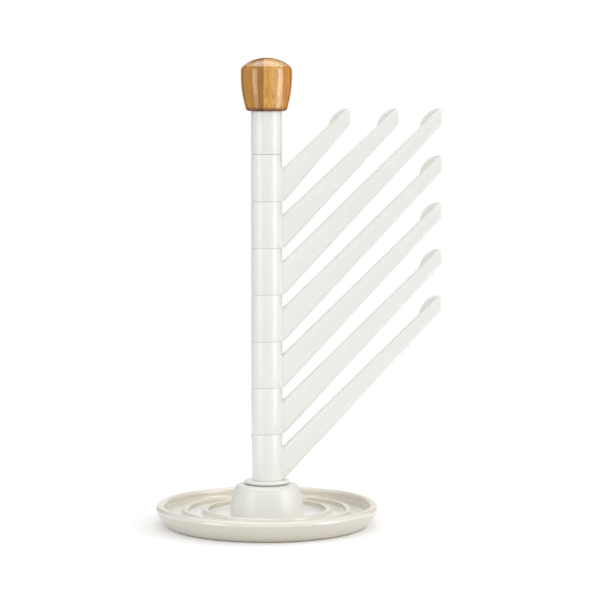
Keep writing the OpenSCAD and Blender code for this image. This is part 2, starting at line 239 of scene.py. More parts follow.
def satinAbs(name, tones):
    finish = absFinish
    material, tree, shader, place = newMaterial(name, finish["shader"])
    cloud = addNode(tree, "ShaderNodeTexNoise", {"Scale": perMetre(finish["cloud"]), "Detail": 2},
                    {"Vector": place})
    tint = addNode(tree, "ShaderNodeMix", {"data_type": "RGBA", 6: linearColor(tones[0]),
                   7: linearColor(tones[1])}, {0: cloud.outputs["Fac"]})
    tree.links.new(tint.outputs[2], shader.inputs["Base Color"])
    smear = addNode(tree, "ShaderNodeTexNoise", {"Scale": perMetre(finish["smear"]), "Detail": 3},
                    {"Vector": place})
    (fromLow, fromHigh), (low, high) = finish["smearLevels"], finish["rough"]
    rough = addNode(tree, "ShaderNodeMapRange", {"From Min": fromLow, "From Max": fromHigh,
                    "To Min": low, "To Max": high}, {"Value": smear.outputs["Fac"]})
    tree.links.new(rough.outputs["Result"], shader.inputs["Roughness"])
    return material


# Stoneware dipped in a cream glaze and fired: glassy, paler and cooler in the troughs, thin
# over the crests so that the warm body shows through, and left bare on the foot. Painted
# shade darkens the walls that face the column and the outer wall under the rim.
# Each layer lies on those before it. Its limits are millimetres of height or radius on the
# tray, from none of it to all of it. A broken layer follows a noise: its size, the levels
# where it comes in, and the least and most that shows.
glazeFinish = {
    "body": "#E6E3DA", "cloud": "#E0DCD1", "cloudSize": 24, "glossLevels": (0.35, 0.7),
    "rough": (0.17, 0.27), "bareRough": 0.8, "ripple": 9, "rippleDepth": 0.03,
    "rippleStrength": 0.5,
    "layers": [
        # paler and cooler in the troughs
        {"colour": "#F4F3EF", "limits": [("height", 10.4, 8.2), ("radius", 74.5, 73)]},
        # painted shade on the walls that face the column: the rim's and both ridges'
        {"colour": "#D6CFBF", "limits": [("height", 9.0, 10.2), ("height", 14.8, 13.2),
                                         ("radius", 66, 68), ("radius", 76.6, 75.4)]},
        {"colour": "#D6CFBF", "limits": [("height", 8.8, 9.8), ("height", 12.2, 11.2),
                                         ("radius", 53, 54.5), ("radius", 58.4, 57.2)]},
        {"colour": "#D6CFBF", "limits": [("height", 8.8, 9.8), ("height", 12.2, 11.2),
                                         ("radius", 38.5, 40), ("radius", 43.9, 42.7)]},
        # painted shade down the outer wall, under the rim
        {"colour": "#DCD7CB", "limits": [("height", 12.2, 11.4), ("radius", 70, 72)]},
        # thin over the ridges and the rim
        {"colour": "#E4DCCA", "limits": [("height", 11.5, 12.3), ("radius", 66, 64)],
         "broken": (5, 0.3, 0.62, 0.35, 0.85)},
        {"colour": "#E4DCCA", "limits": [("height", 14.9, 15.8)],
         "broken": (5, 0.3, 0.62, 0.35, 0.85)},
        # iron specks
        {"colour": "#E4DCCA", "limits": [], "broken": (1.4, 0.7, 0.78, 0, 0.25)},
        # the bare foot, always last, since its amount also sets the roughness
        {"colour": "#B9A68B", "limits": [("height", 1.3, 1.0), ("radius", 71.6, 71.3)]},
    ]}


def creamGlaze():
    finish = glazeFinish
    material, tree, shader, place = newMaterial("creamGlazedStoneware", {"IOR": 1.54})
    flat = addNode(tree, "ShaderNodeVectorMath", {"operation": "MULTIPLY", 1: (1, 1, 0)},
                   {0: place})
    radius = addNode(tree, "ShaderNodeVectorMath", {"operation": "LENGTH"},
                     {0: flat.outputs["Vector"]})
    axes = addNode(tree, "ShaderNodeSeparateXYZ", None, {"Vector": place})
    measure = {"height": axes.outputs["Z"], "radius": radius.outputs["Value"]}
    cloud = addNode(tree, "ShaderNodeTexNoise", {"Scale": perMetre(finish["cloudSize"]),
                    "Detail": 3}, {"Vector": place})
    colour = addNode(tree, "ShaderNodeMix", {"data_type": "RGBA", 6: linearColor(finish["body"]),
                     7: linearColor(finish["cloud"])}, {0: cloud.outputs["Fac"]}).outputs[2]
    for layer in finish["layers"]:
        parts = []
        for name, none, full in layer["limits"]:
            limit = addNode(tree, "ShaderNodeMapRange", {"interpolation_type": "SMOOTHSTEP",
                            "From Min": none * mm, "From Max": full * mm},
                            {"Value": measure[name]})
            parts.append(limit.outputs["Result"])
        if "broken" in layer:
            size, none, full, least, most = layer["broken"]
            noise = addNode(tree, "ShaderNodeTexNoise", {"Scale": perMetre(size), "Detail": 3},
                            {"Vector": place})
            shown = addNode(tree, "ShaderNodeMapRange", {"From Min": none, "From Max": full,
                            "To Min": least, "To Max": most}, {"Value": noise.outputs["Fac"]})
            parts.append(shown.outputs["Result"])
        amount = parts[0]
        for part in parts[1:]:
            amount = addNode(tree, "ShaderNodeMath", {"operation": "MULTIPLY"},
                             {0: amount, 1: part}).outputs[0]
        colour = addNode(tree, "ShaderNodeMix", {"data_type": "RGBA",
                         7: linearColor(layer["colour"])}, {0: amount, 6: colour}).outputs[2]
    tree.links.new(colour, shader.inputs["Base Color"])
    (fromLow, fromHigh), (low, high) = finish["glossLevels"], finish["rough"]
    gloss = addNode(tree, "ShaderNodeMapRange", {"From Min": fromLow, "From Max": fromHigh,
                    "To Min": low, "To Max": high}, {"Value": cloud.outputs["Fac"]})
    rough = addNode(tree, "ShaderNodeMix", {3: finish["bareRough"]},
                    {0: amount, 2: gloss.outputs["Result"]})
    tree.links.new(rough.outputs[0], shader.inputs["Roughness"])
    ripple = addNode(tree, "ShaderNodeTexNoise", {"Scale": perMetre(finish["ripple"]),
                     "Detail": 1}, {"Vector": place})
    bump = addNode(tree, "ShaderNodeBump", {"Strength": finish["rippleStrength"],
                   "Distance": finish["rippleDepth"] * mm}, {"Height": ripple.outputs["Fac"]})
    tree.links.new(bump.outputs["Normal"], shader.inputs["Normal"])
    return material


# Carbonised bamboo strips glued side by side, turned on a lathe and varnished: caramel
# strips with dark fibre bundles, thin glue lines and a few node marks, under a clear glossy
# coat. Each strip has its start from the axis towards +X, its colour, and a shift of its
# grain; each grain its size across and along, and the noise levels where it comes in. The
# last grain keeps to a band of heights. The strips behind the axis are shifted sideways.
bambooFinish = {
    "shader": {"IOR": 1.5, "Roughness": 0.5, "Specular IOR Level": 0.1, "Coat Roughness": 0.08,
               "Coat IOR": 1.5},
    "strips": [(-18.6, "#C48518", 0.1), (-10.6, "#BC801C", 0.62), (-5.8, "#AA6E06", 0.35),
               (-2.1, "#E3A94B", 0.9), (3.9, "#E3AE5E", 0.2), (12.0, "#D08414", 0.75)],
    "span": 60, "backStart": 1.5, "backShift": 8.5, "grainShift": (0.03, 0.02, 0.2),
    "grain": [
        # fibre bundles, fine fibres, short dashes, and the marks of a node
        {"colour": "#8A5A1C", "amount": 0.5, "across": 1.3, "along": 34, "levels": (0.44, 0.66)},
        {"colour": "#7A4C12", "amount": 0.45, "across": 0.42, "along": 15, "levels": (0.5, 0.74)},
        {"colour": "#5A340C", "amount": 0.6, "across": 0.55, "along": 3.6, "levels": (0.66, 0.74)},
        {"colour": "#5A2E0C", "amount": 0.8, "across": 0.9, "along": 1.6, "levels": (0.58, 0.66),
         "band": (30.4, 34.2)},
    ],
    "bandFade": 0.8, "glueWidth": 0.28, "glue": "#6B3D12", "glueAmount": 0.6,
    # the edge colour is painted shade, laid over the lowest millimetres of the side
    "edge": "#6C3C10", "paintedShadeHeight": 3.6, "paintedShadeAmount": 0.9, "coat": (0.1, 0.9)}


def varnishedBamboo():
    finish = bambooFinish
    material, tree, shader, place = newMaterial("varnishedBamboo", finish["shader"])
    foot, span = levels("knob")[0], finish["span"]
    axes = addNode(tree, "ShaderNodeSeparateXYZ", None, {"Vector": place})
    behind = addNode(tree, "ShaderNodeMath", {"operation": "GREATER_THAN",
                     1: finish["backStart"] * mm}, {0: axes.outputs["Y"]})
    shifted = addNode(tree, "ShaderNodeMath", {"operation": "MULTIPLY_ADD",
                      1: finish["backShift"] * mm}, {0: behind.outputs[0], 2: axes.outputs["X"]})
    across = addNode(tree, "ShaderNodeMapRange", {"From Min": -span / 2 * mm,
                     "From Max": span / 2 * mm}, {"Value": shifted.outputs[0]}).outputs["Result"]
    colours = [(start, linearColor(code)) for start, code, shift in finish["strips"]]
    shifts = [(start, (shift, shift, shift, 1)) for start, code, shift in finish["strips"]]
    half, lines = finish["glueWidth"] / 2, []
    for start, code, shift in finish["strips"][1:]:
        lines += [(start - half, (0, 0, 0, 1)), (start, (1, 1, 1, 1)), (start + half, (0, 0, 0, 1))]
    ramps = []
    for kind, stops in (("CONSTANT", colours), ("CONSTANT", shifts), ("LINEAR", lines)):
        ramp = addNode(tree, "ShaderNodeValToRGB", None, {"Fac": across})
        ramp.color_ramp.interpolation = kind
        elements = ramp.color_ramp.elements
        for k, (x, value) in enumerate(stops):
            stop = elements[k] if k < 2 else elements.new(1)
            stop.position, stop.color = x / span + 0.5, value
        ramps.append(ramp.outputs["Color"])
    colour, shift, glueLine = ramps
    spot = addNode(tree, "ShaderNodeVectorMath", {"operation": "MULTIPLY_ADD",
                   1: finish["grainShift"]}, {0: shift, 2: place})
    for grain in finish["grain"]:
        drawn = addNode(tree, "ShaderNodeVectorMath", {"operation": "MULTIPLY",
                        1: (1, 1, grain["across"] / grain["along"])}, {0: spot.outputs["Vector"]})
        noise = addNode(tree, "ShaderNodeTexNoise", {"Scale": perMetre(grain["across"]),
                        "Detail": 2, "Roughness": 0.6}, {"Vector": drawn.outputs["Vector"]})
        low, high = grain["levels"]
        amount = addNode(tree, "ShaderNodeMapRange", {"From Min": low, "From Max": high,
                         "To Max": grain["amount"]}, {"Value": noise.outputs["Fac"]}).outputs[0]
        if "band" in grain:
            fade = finish["bandFade"]
            for edge, inside in zip(grain["band"], (fade, -fade)):
                limit = addNode(tree, "ShaderNodeMapRange", {"From Min": (foot + edge) * mm,
                                "From Max": (foot + edge + inside) * mm},
                                {"Value": axes.outputs["Z"]})
                amount = addNode(tree, "ShaderNodeMath", {"operation": "MULTIPLY"},
                                 {0: amount, 1: limit.outputs["Result"]}).outputs[0]
        colour = addNode(tree, "ShaderNodeMix", {"data_type": "RGBA",
                         7: linearColor(grain["colour"])}, {0: amount, 6: colour}).outputs[2]
    glued = addNode(tree, "ShaderNodeMath", {"operation": "MULTIPLY", 1: finish["glueAmount"]},
                    {0: glueLine})
    colour = addNode(tree, "ShaderNodeMix", {"data_type": "RGBA", 7: linearColor(finish["glue"])},
                     {0: glued.outputs[0], 6: colour}).outputs[2]
    # painted shade: the colour goes darker towards the lower edge, and the coat thins there
    paintedShadeTop = (foot + finish["paintedShadeHeight"]) * mm
    low = addNode(tree, "ShaderNodeMapRange", {"interpolation_type": "SMOOTHSTEP",
                  "From Min": paintedShadeTop, "From Max": foot * mm, "To Max": finish["paintedShadeAmount"]},
                  {"Value": axes.outputs["Z"]})
    darkened = addNode(tree, "ShaderNodeMix", {"data_type": "RGBA", "blend_type": "MULTIPLY",
                       7: linearColor(finish["edge"])}, {0: low.outputs["Result"], 6: colour})
    tree.links.new(darkened.outputs[2], shader.inputs["Base Color"])
    coat = addNode(tree, "ShaderNodeMapRange", {"From Min": foot * mm, "From Max": paintedShadeTop,
                   "To Min": finish["coat"][0], "To Max": finish["coat"][1]},
                   {"Value": axes.outputs["Z"]})
    tree.links.new(coat.outputs["Result"], shader.inputs["Coat Weight"])
    return material


# Finishes made by one pattern that mixes two tones; some run their roughness by it too, or
# stand out in relief, with a strength and a depth.
patternFinishes = {
    # the ABS on the fins: a fine dull spark-eroded grain in relief, with a greyer tone that is
    # painted shade, so that the fins come darker than the arms they stand on
    "gripGrainAndShadeAbs": {
        "shader": {"IOR": 1.53, "Roughness": 0.55},
        "pattern": {"Scale": perMetre(0.45), "Detail": 2},
        "tones": ("#E0E0DB", "#DCDCD6"), "relief": (0.5, 0.03)},
    # bright zinc-plated steel: bluish grey, with the soft clouds of the plating bath
    "zincPlatedSteel": {
        "shader": {"Metallic": 1.0}, "pattern": {"Scale": perMetre(2.5), "Detail": 4},
        "tones": ("#C6CACD", "#B2B7BC"), "rough": (0.2, 0.38)},
    # turned free-cutting brass: warm yellow, with tool rings round the axis
    "turnedBrass": {
        "shader": {"Metallic": 1.0, "Roughness": 0.25}, "kind": "ShaderNodeTexWave",
        "pattern": {"bands_direction": "Z", "Scale": perMetre(12), "Distortion": 0.5},
        "tones": ("#D9B36A", "#C79F55"), "relief": (0.3, 0.02)},
    # unfilled nylon, stamped from sheet: milky and slightly waxy
    "naturalNylon": {
        "shader": {"IOR": 1.53, "Roughness": 0.5, "Subsurface Weight": 0.15,
                   "Subsurface Scale": 0.001},
        "pattern": {"Scale": perMetre(3), "Detail": 3}, "tones": ("#E4E2DA", "#DAD8CE")},
    # moulded silicone rubber: matt, with the faint dusty bloom that grips a worktop
    "mouldedSilicone": {
        "shader": {"IOR": 1.41, "Roughness": 0.7, "Sheen Weight": 0.15, "Sheen Roughness": 0.5},
        "pattern": {"Scale": perMetre(1.2), "Detail": 4}, "tones": ("#BFBDB6", "#AFADA6"),
        "relief": (0.4, 0.05)},
}


def patternMaterial(name):
    finish = patternFinishes[name]
    material, tree, shader, place = newMaterial(name, finish["shader"])
    pattern = addNode(tree, finish.get("kind", "ShaderNodeTexNoise"), finish["pattern"],
                      {"Vector": place}).outputs["Fac"]
    first, second = finish["tones"]
    tint = addNode(tree, "ShaderNodeMix", {"data_type": "RGBA", 6: linearColor(first),
                   7: linearColor(second)}, {0: pattern})
    tree.links.new(tint.outputs[2], shader.inputs["Base Color"])
    if "rough" in finish:
        low, high = finish["rough"]
        rough = addNode(tree, "ShaderNodeMapRange", {"To Min": low, "To Max": high},
                        {"Value": pattern})
        tree.links.new(rough.outputs["Result"], shader.inputs["Roughness"])
    if "relief" in finish:
        strength, depth = finish["relief"]
        bump = addNode(tree, "ShaderNodeBump", {"Strength": strength, "Distance": depth * mm},
                       {"Height": pattern})
        tree.links.new(bump.outputs["Normal"], shader.inputs["Normal"])
    return material


whiteAbs = satinAbs("satinMouldedAbs", absFinish["column"])
baseAbs = satinAbs("satinMouldedAbsBase", absFinish["base"])
glaze, bamboo = creamGlaze(), varnishedBamboo()
finGrainAndShade, zinc, brass, nylon, silicone = [patternMaterial(name) for name in patternFinishes]
print("materials made")

# rings with their arms

ring = {"radius": 11, "bevel": 0.3, "wall": 2.2, "top": 2.6, "joint": 0.3, "bore": 4.05,
        "sleeve": 6.05, "recess": 7.6, "recessDepth": 0.7, "lip": (9.9, 10.6), "lipRise": 0.22,
        "rib": 1.4, "ribCount": 6, "ribTurn": 0.5, "ribFoot": 0.01, "overlap": 0.5}
arm = {"count": 7, "drop": 9.8, "heel": 1.7, "rootWidth": 10.6, "tipWidth": 8.2,
       "tipHeight": 10.9, "land": 2.5, "landEase": 0.5, "tipRound": 5, "tipEdge": 1.3,
       "endTaper": 0.6, "squareness": 3.4, "grooveWidth": 3.4, "grooveDepth": 1.3,
       "grooveBite": 0.6, "blend": 0.9, "notchBlend": 2.6, "blendSteps": 6, "blendSink": 0.04,
       "straightStart": 0.6, "rowLength": 5, "tipSteps": 10, "tipGap": 0.05,
       "endRows": (0.75, 0.4)}
fin = {"radius": 15.4, "thickness": 2.6, "bevel": 0.6, "back": 0.4, "rise": 0.4, "inset": 0.3,
       "corner": 1.2, "cornerDrop": 0.15, "cornerLap": 0.1, "lastAngle": 196, "root": (9, 1),
       "grainShadeReach": 4, "grainShadeRoom": 0.01, "grainShadeRise": 0.05}


# the ring's top face inwards from its edge: a low lip that closes the joint to light, and
# the recess of a glide washer
def topFace(top, lip, recess, bore):
    lipIn, lipOut = ring["lip"]
    return [(lipOut, top, 0), (lipOut, top + lip, 0), (lipIn, top + lip, 0), (lipIn, top, 0),
            (ring["recess"], top, 0), (ring["recess"], top - recess, 0), (bore, top - recess, 0)]


# a hollow ring with a closed top, a sleeve and ribs, from its foot up
def ringForm(name, low, high, lowBevel, bore, recess, lip):
    hollow, ceiling = ring["radius"] - ring["wall"], high - ring["top"]
    outline = [(ring["radius"], low, lowBevel), (ring["radius"], high, ring["bevel"])]
    outline += topFace(high, lip, recess, bore)
    outline += [(bore, low, 0), (ring["sleeve"], low, 0), (ring["sleeve"], ceiling, 0),
                (hollow, ceiling, 0), (hollow, low, 0)]
    body = turned(name, roundedOutline(outline, steps=3))
    ribs = spokes(name + "Ribs", ring["ribCount"], ring["rib"], ring["sleeve"] - ring["overlap"],
                  hollow + ring["overlap"], low + ring["ribFoot"], ceiling + ring["overlap"],
                  ring["ribTurn"])
    return combine(body, [ribs])


# right half of the arm's section as (across, up), each from -1 to 1, top middle first
def halfSection():
    n = arm["squareness"]
    corner = 0.5 ** (1 / n)
    across = (0, 0.15, 0.3, 0.44, 0.56, 0.66, 0.75)
    down = (corner, 0.74, 0.64, 0.5, 0.3, 0.1, -0.1, -0.3, -0.5, -0.64, -0.74, -corner)
    top = [(u, (1 - u ** n) ** (1 / n)) for u in across]
    side = [((1 - abs(v) ** n) ** (1 / n), v) for v in down]
    bottom = [(u, -v) for u, v in reversed(top)]
    return top + side + bottom


# the arm as rows of its section: from inside the ring's wall over the fillet, along the
# taper, and round the tip's lower corner to the end face
def armForm(name, ringTop, ringFoot, reach, tipTop):
    right = halfSection()
    section = right + [(-u, v) for u, v in reversed(right[1:-1])]
    radius, tipRound, edge = ring["radius"], arm["tipRound"], arm["tipEdge"]
    topStart, topEnd = (radius, ringTop - arm["drop"]), (reach - arm["land"], tipTop - fin["rise"])
    lowStart, lowEnd = (radius + arm["heel"], ringFoot), (reach, tipTop - arm["tipHeight"])
    topSlope = (topEnd[1] - topStart[1]) / (topEnd[0] - topStart[0])
    lowSlope = (lowEnd[1] - lowStart[1]) / (lowEnd[0] - lowStart[0])
    straightEnd = reach - tipRound

    # straight, then eased into the level land
    def topLine(x):
        straight = topStart[1] + topSlope * (x - topStart[0])
        gap = (topEnd[1] - straight) / arm["landEase"]
        if gap > 60:   # the easing no longer counts
            return straight
        return topEnd[1] - arm["landEase"] * math.log1p(math.exp(gap))

    def lowLine(x):
        return lowStart[1] + lowSlope * (x - lowStart[0])

    def halfWidth(x):
        taper = (arm["tipWidth"] - arm["rootWidth"]) * (x - radius) / (reach - radius)
        return (arm["rootWidth"] + taper) / 2

    # a point of the arm's skin at x, for one place in the section
    def skin(x, u, v, shrink=0, under=None):
        low, high = (lowLine(x) if under is None else under) + shrink, topLine(x) - shrink
        z = (low + high) / 2 + (high - low) / 2 * v
        return Vector((x, (halfWidth(x) - shrink) * u, max(z, ringFoot)))

    # how far out the skin leaves the round ring
    def meetsRing(u, v):
        x = radius
        for _ in range(12):
            x = math.sqrt(radius ** 2 - skin(x, u, v).y ** 2)
        return x

    # the fillet's ends: on the skin, and on the ring a little under its surface
    flares, inner = [], []
    for k, (u, v) in enumerate(section):
        x = meetsRing(u, v)
        meet = skin(x, u, v)
        before, after = section[k - 1], section[(k + 1) % len(section)]
        along = skin(x, *after) - skin(x, *before)
        outward = Vector((0, -along.z, along.y)) if along.length else Vector((0, 0, 1))
        if outward.dot(Vector((0, u, v))) < 0:
            outward.negate()
        normal = Vector((meet.x, meet.y, 0)).normalized()
        outward = (outward - normal * outward.dot(normal)).normalized()
        size = arm["blend"] + (arm["notchBlend"] - arm["blend"]) * max(v, 0) ** 4
        end = meet + outward * size
        height = max(end.z, ringFoot)
        flat = Vector((end.x, end.y, 0)).normalized()
        onRing, inWall = flat * (radius - arm["blendSink"]), flat * (radius - ring["wall"] / 2)
        flares.append((meet, Vector((onRing.x, onRing.y, height)), size))
        inner.append(Vector((inWall.x, inWall.y, height)))
    rows = [inner]
    for step in range(arm["blendSteps"] + 1):
        t = step / arm["blendSteps"]
        row = []
        for (u, v), (meet, end, size) in zip(section, flares):
            leave = skin(meet.x + size, u, v)
            point = end * (1 - t) ** 2 + meet * 2 * t * (1 - t) + leave * t * t
            row.append(Vector((point.x, point.y, max(point.z, ringFoot))))
        rows.append(row)
    start = radius + arm["notchBlend"] + arm["straightStart"]
    count = max(4, round((straightEnd - start) / arm["rowLength"]))
    for k in range(count + 1):
        x = start + (straightEnd - start) * k / count
        rows.append([skin(x, u, v) for u, v in section])
    # rounded lower corner, with the end face's softened edge
    corner = (straightEnd, lowEnd[1] - lowSlope * tipRound + tipRound * math.hypot(1, lowSlope))
    lowAngle = math.degrees(math.atan(lowSlope)) - 90
    for x, z in arcPoints(corner, tipRound, lowAngle, 0, arm["tipSteps"]):
        if x > straightEnd + arm["tipGap"]:
            over = max(x - (reach - edge), 0) / edge
            shrink = edge * (1 - math.sqrt(max(1 - over * over, 0)))
            rows.append([skin(x, u, v, shrink * arm["endTaper"], under=z) for u, v in section])
    for share in arm["endRows"]:
        last = rows[-1]
        middle = sum(last, Vector()) / len(last)
        rows.append([middle + (p - middle) * share for p in last])

    form = bmesh.new()
    grid = [[form.verts.new(p * mm) for p in row] for row in rows]
    for low, high in zip(grid, grid[1:]):
        for k in range(len(low)):
            n = (k + 1) % len(low)
            form.faces.new((low[k], low[n], high[n], high[k]))
    for cap in (grid[0], grid[-1]):
        centre = form.verts.new(sum((v.co for v in cap), Vector()) / len(cap))
        if cap is grid[0]:
            centre.co.x = (radius - ring["wall"] / 2) * mm
        for k in range(len(cap)):
            form.faces.new((cap[k], cap[(k + 1) % len(cap)], centre))
    bmesh.ops.remove_doubles(form, verts=form.verts, dist=20 * weld)
    bmesh.ops.recalc_face_normals(form, faces=form.faces)
    return formObject(name, form)


# the quarter round on the tip
def finForm(name, reach, tipTop):
    centre = (reach - fin["back"], tipTop - fin["radius"])
    end = reach - arm["tipEdge"] - fin["inset"]
    corner = (end - fin["corner"], tipTop - fin["cornerDrop"] - fin["corner"])
    first = math.degrees(math.acos((corner[0] - fin["cornerLap"] - centre[0]) / fin["radius"]))
    outline = arcPoints(corner, fin["corner"], 0, 88, 6)
    outline += arcPoints(centre, fin["radius"], first, fin["lastAngle"], 30)
    outline += [(end - fin["root"][0], tipTop - arm["tipHeight"] + fin["root"][1]),
                (end, tipTop - arm["tipHeight"] / 2)]
    side = -fin["thickness"] / 2 * mm
    form = bmesh.new()
    face = form.faces.new([form.verts.new((x * mm, side, z * mm)) for x, z in outline])
    grown = bmesh.ops.extrude_face_region(form, geom=[face])["geom"]
    for vert in (v for v in grown if isinstance(v, bmesh.types.BMVert)):
        vert.co.y += fin["thickness"] * mm
    bmesh.ops.recalc_face_normals(form, faces=form.faces)
    rims = [e for e in form.edges if abs(e.verts[0].co.y - e.verts[1].co.y) < weld]
    bmesh.ops.bevel(form, geom=rims, offset=fin["bevel"] * mm, segments=4, profile=0.5,
                    affect="EDGES")
    return formObject(name, form)


# ball-ended cutter for the drain groove along the top of the arm
def grooveCutter(name, ringTop, reach, tipTop):
    start = Vector((ring["radius"], 0, ringTop - arm["drop"]))
    end = Vector((reach - arm["land"], 0, tipTop - fin["rise"]))
    along = (end - start).normalized()
    r = arm["grooveWidth"] / 2
    length = (reach - fin["back"] - fin["radius"] - r - start.x) / along.x + arm["grooveBite"]
    ends = arcPoints((0, r), r, -90, 0, 8) + arcPoints((0, length - r), r, 0, 90, 8)
    capsule = turned(name, ends, 48)
    down = Vector((along.z, 0, -along.x))
    turn = Matrix((down, Vector((0, 1, 0)), along)).transposed().to_4x4()
    place = start - along * arm["grooveBite"] + down * (arm["grooveDepth"] - r)
    capsule.data.transform(Matrix.Translation(place * mm) @ turn)
    return capsule


# gives the faces of the fin, all those that stand over the arm's top line, the grip grain and its
# painted shade
def shadeAndGrainFin(piece, ringTop, reach, tipTop):
    piece.data.materials.append(finGrainAndShade)
    foot, crease = ringTop - arm["drop"], tipTop - fin["rise"]
    slope = (crease - foot) / (reach - arm["land"] - ring["radius"])
    nearest, side = reach - fin["radius"] - fin["grainShadeReach"], fin["thickness"] / 2
    for face in piece.data.polygons:
        x, y, z = face.center / mm
        over = z - min(foot + slope * (x - ring["radius"]), crease)
        if x > nearest and abs(y) < side + fin["grainShadeRoom"] and over > fin["grainShadeRise"]:
            face.material_index = 1


for k in range(1, arm["count"] + 1):
    node = f"arm_{k}"
    low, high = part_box(node)
    foot, reach, tipTop = low.z / mm, high.x / mm, high.z / mm
    ringTop = levels(f"arm_{k - 1}" if k > 1 else "collar")[0] - ring["joint"]
    piece = ringForm(f"armRing_{k}", foot, ringTop, ring["bevel"], ring["bore"],
                     ring["recessDepth"], ring["lipRise"])
    combine(piece, [armForm("armBar", ringTop, foot, reach, tipTop),
                    finForm("armFin", reach, tipTop)])
    combine(piece, [grooveCutter("grooveCutter", ringTop, reach, tipTop)], "DIFFERENCE")
    dress(piece, whiteAbs, f"swivel_{k}", node)
    shadeAndGrainFin(piece, ringTop, reach, tipTop)
print("arms made")

# collar, foot and pedestal

collar = {"bevel": 0.8, "bore": 4.1, "recess": 0.01, "lip": 0.01}   # its top is all but flat
foot, top = levels("collar")
piece = ringForm("columnCollar", foot, top, collar["bevel"], collar["bore"], collar["recess"],
                 collar["lip"])
dress(piece, whiteAbs, "stand", "collar")

flange = {"radius": 16.5, "thickness": 1.9, "edge": 0.6, "neckRadius": 13, "neck": 1,
          "plugRadius": 12, "plugEdge": 0.4, "bore": 4.1}
foot, top = levels("column_foot")
under = top - flange["thickness"]
shelf = under - flange["neck"]
piece = turned("columnFoot", roundedOutline([
    (flange["bore"], foot, 0), (flange["plugRadius"], foot, flange["plugEdge"]),
    (flange["plugRadius"], shelf, 0), (flange["neckRadius"], shelf, 0),
    (flange["neckRadius"], under, 0), (flange["radius"], under, flange["edge"]),
    (flange["radius"], top, flange["edge"])]
    + topFace(top, ring["lipRise"], ring["recessDepth"], flange["bore"]), steps=6), 160)
dress(piece, whiteAbs, "stand", "column_foot")

pedestal = {"radius": 26.3, "topRadius": 23.2, "shoulder": 3.8, "bow": 1, "wall": 2.4,
            "socket": 12.15, "socketFloor": 3.2, "mouth": 0.3, "seat": 17.3, "bore": 4.1,
            "rib": 1.6, "overlap": 0.6}
foot, top = levels("pedestal")
wall, seat, socket = pedestal["wall"], pedestal["seat"], pedestal["socket"]
tube, socketFloor = socket + wall, seat + pedestal["socketFloor"]
shoulder = (pedestal["topRadius"] - pedestal["shoulder"], top - pedestal["shoulder"])
sideHeight = shoulder[1] - foot
lean = math.degrees(math.atan((pedestal["radius"] - pedestal["topRadius"]) / sideHeight)
                    + math.atan(4 * pedestal["bow"] / sideHeight))
outer = arcPoints(shoulder, pedestal["shoulder"], lean, 90, 14)
inner = arcPoints(shoulder, pedestal["shoulder"] - wall, 90, lean, 8)
outline = bowPoints((pedestal["radius"], foot), outer[0], pedestal["bow"], 20) + outer[1:]
outline += [(socket + pedestal["mouth"], top), (socket, top - pedestal["mouth"]),
            (socket, socketFloor), (pedestal["bore"], socketFloor), (pedestal["bore"], seat),
            (tube, seat), (tube, top - wall)]
outline += inner
outline += bowPoints(inner[-1], (pedestal["radius"] - wall, foot), -pedestal["bow"], 10)[1:]
ribs = spokes("pedestalRibs", ring["ribCount"], pedestal["rib"], tube - pedestal["overlap"],
              pedestal["topRadius"] - wall / 2, seat, top - wall + pedestal["overlap"], 0)
piece = combine(turned("pedestalBell", outline, 160), [ribs])
dress(piece, baseAbs, "stand", "pedestal")
print("collar, foot and pedestal made")

# drip tray

tray = {"radius": 80, "top": 15.8, "footRadius": 71, "footWidth": 4.6, "footLow": 0.6,
        "rim": 3.2, "rimStep": 0.5, "bow": 1.1, "floor": 8, "wall": 4, "trough": 3,
        "ridges": [58.5, 44], "ridgeHeight": 4.4, "ridgeWidth": 4.8, "ridgeFoot": 1.4,
        "seatRadius": 17, "seatTop": 17.3, "seatRound": 2, "pocket": 13, "bore": 4.1,
        "footBlend": 1.6, "footEdge": 0.6, "gripDepth": 1.0, "gripRoom": 2.8}
gripMiddle = tray["footRadius"] - tray["footWidth"] / 2


# from the foot up the outer wall, over the rim and the ridges to the seat, and back under
def trayOutline():
    rim, trough, bend = tray["rim"], tray["trough"], tray["seatRound"]
    rimMiddle = (tray["radius"] - rim, tray["top"] - rim)
    wallTop = (tray["radius"] - tray["rimStep"], rimMiddle[1] - tray["rimStep"])
    floor, footLow = tray["floor"], tray["footLow"]
    under, footIn = floor - tray["wall"], tray["footRadius"] - tray["footWidth"]
    points = bowPoints((tray["footRadius"], footLow), wallTop, tray["bow"], 20)
    points += arcPoints(rimMiddle, rim, 0, 180, 28)
    points += arcPoints((rimMiddle[0] - rim - trough, floor + trough), trough, 0, -90, 10)
    half, blend = tray["ridgeWidth"] / 2, tray["ridgeFoot"]
    for middle in tray["ridges"]:
        points += arcPoints((middle + half + blend, floor + blend), blend, -90, -180, 6)
        points += arcPoints((middle, floor + tray["ridgeHeight"] - half), half, 0, 180, 16)
        points += arcPoints((middle - half - blend, floor + blend), blend, 0, -90, 6)
    seat, seatTop = tray["seatRadius"], tray["seatTop"]
    points += arcPoints((seat + bend, floor + bend), bend, -90, -180, 6)
    points += arcPoints((seat - bend, seatTop - bend), bend, 0, 90, 6)
    points += [(tray["bore"], seatTop), (tray["bore"], seatTop - tray["wall"]),
               (tray["pocket"], seatTop - tray["wall"]), (tray["pocket"], under)]
    blend, edge = tray["footBlend"], tray["footEdge"]
    points += arcPoints((footIn - blend, under - blend), blend, 90, 0, 6)
    points += arcPoints((footIn + edge, footLow + edge), edge, 180, 270, 4)
    for side, step in ((-1, 0), (-1, 1), (1, 1), (1, 0)):   # the grip ring's groove
        points.append((gripMiddle + side * tray["gripRoom"] / 2,
                       footLow + step * tray["gripDepth"]))
    return points


piece = turned("dripTray", trayOutline(), 224)
dress(piece, glaze, "stand", "drip_tray")

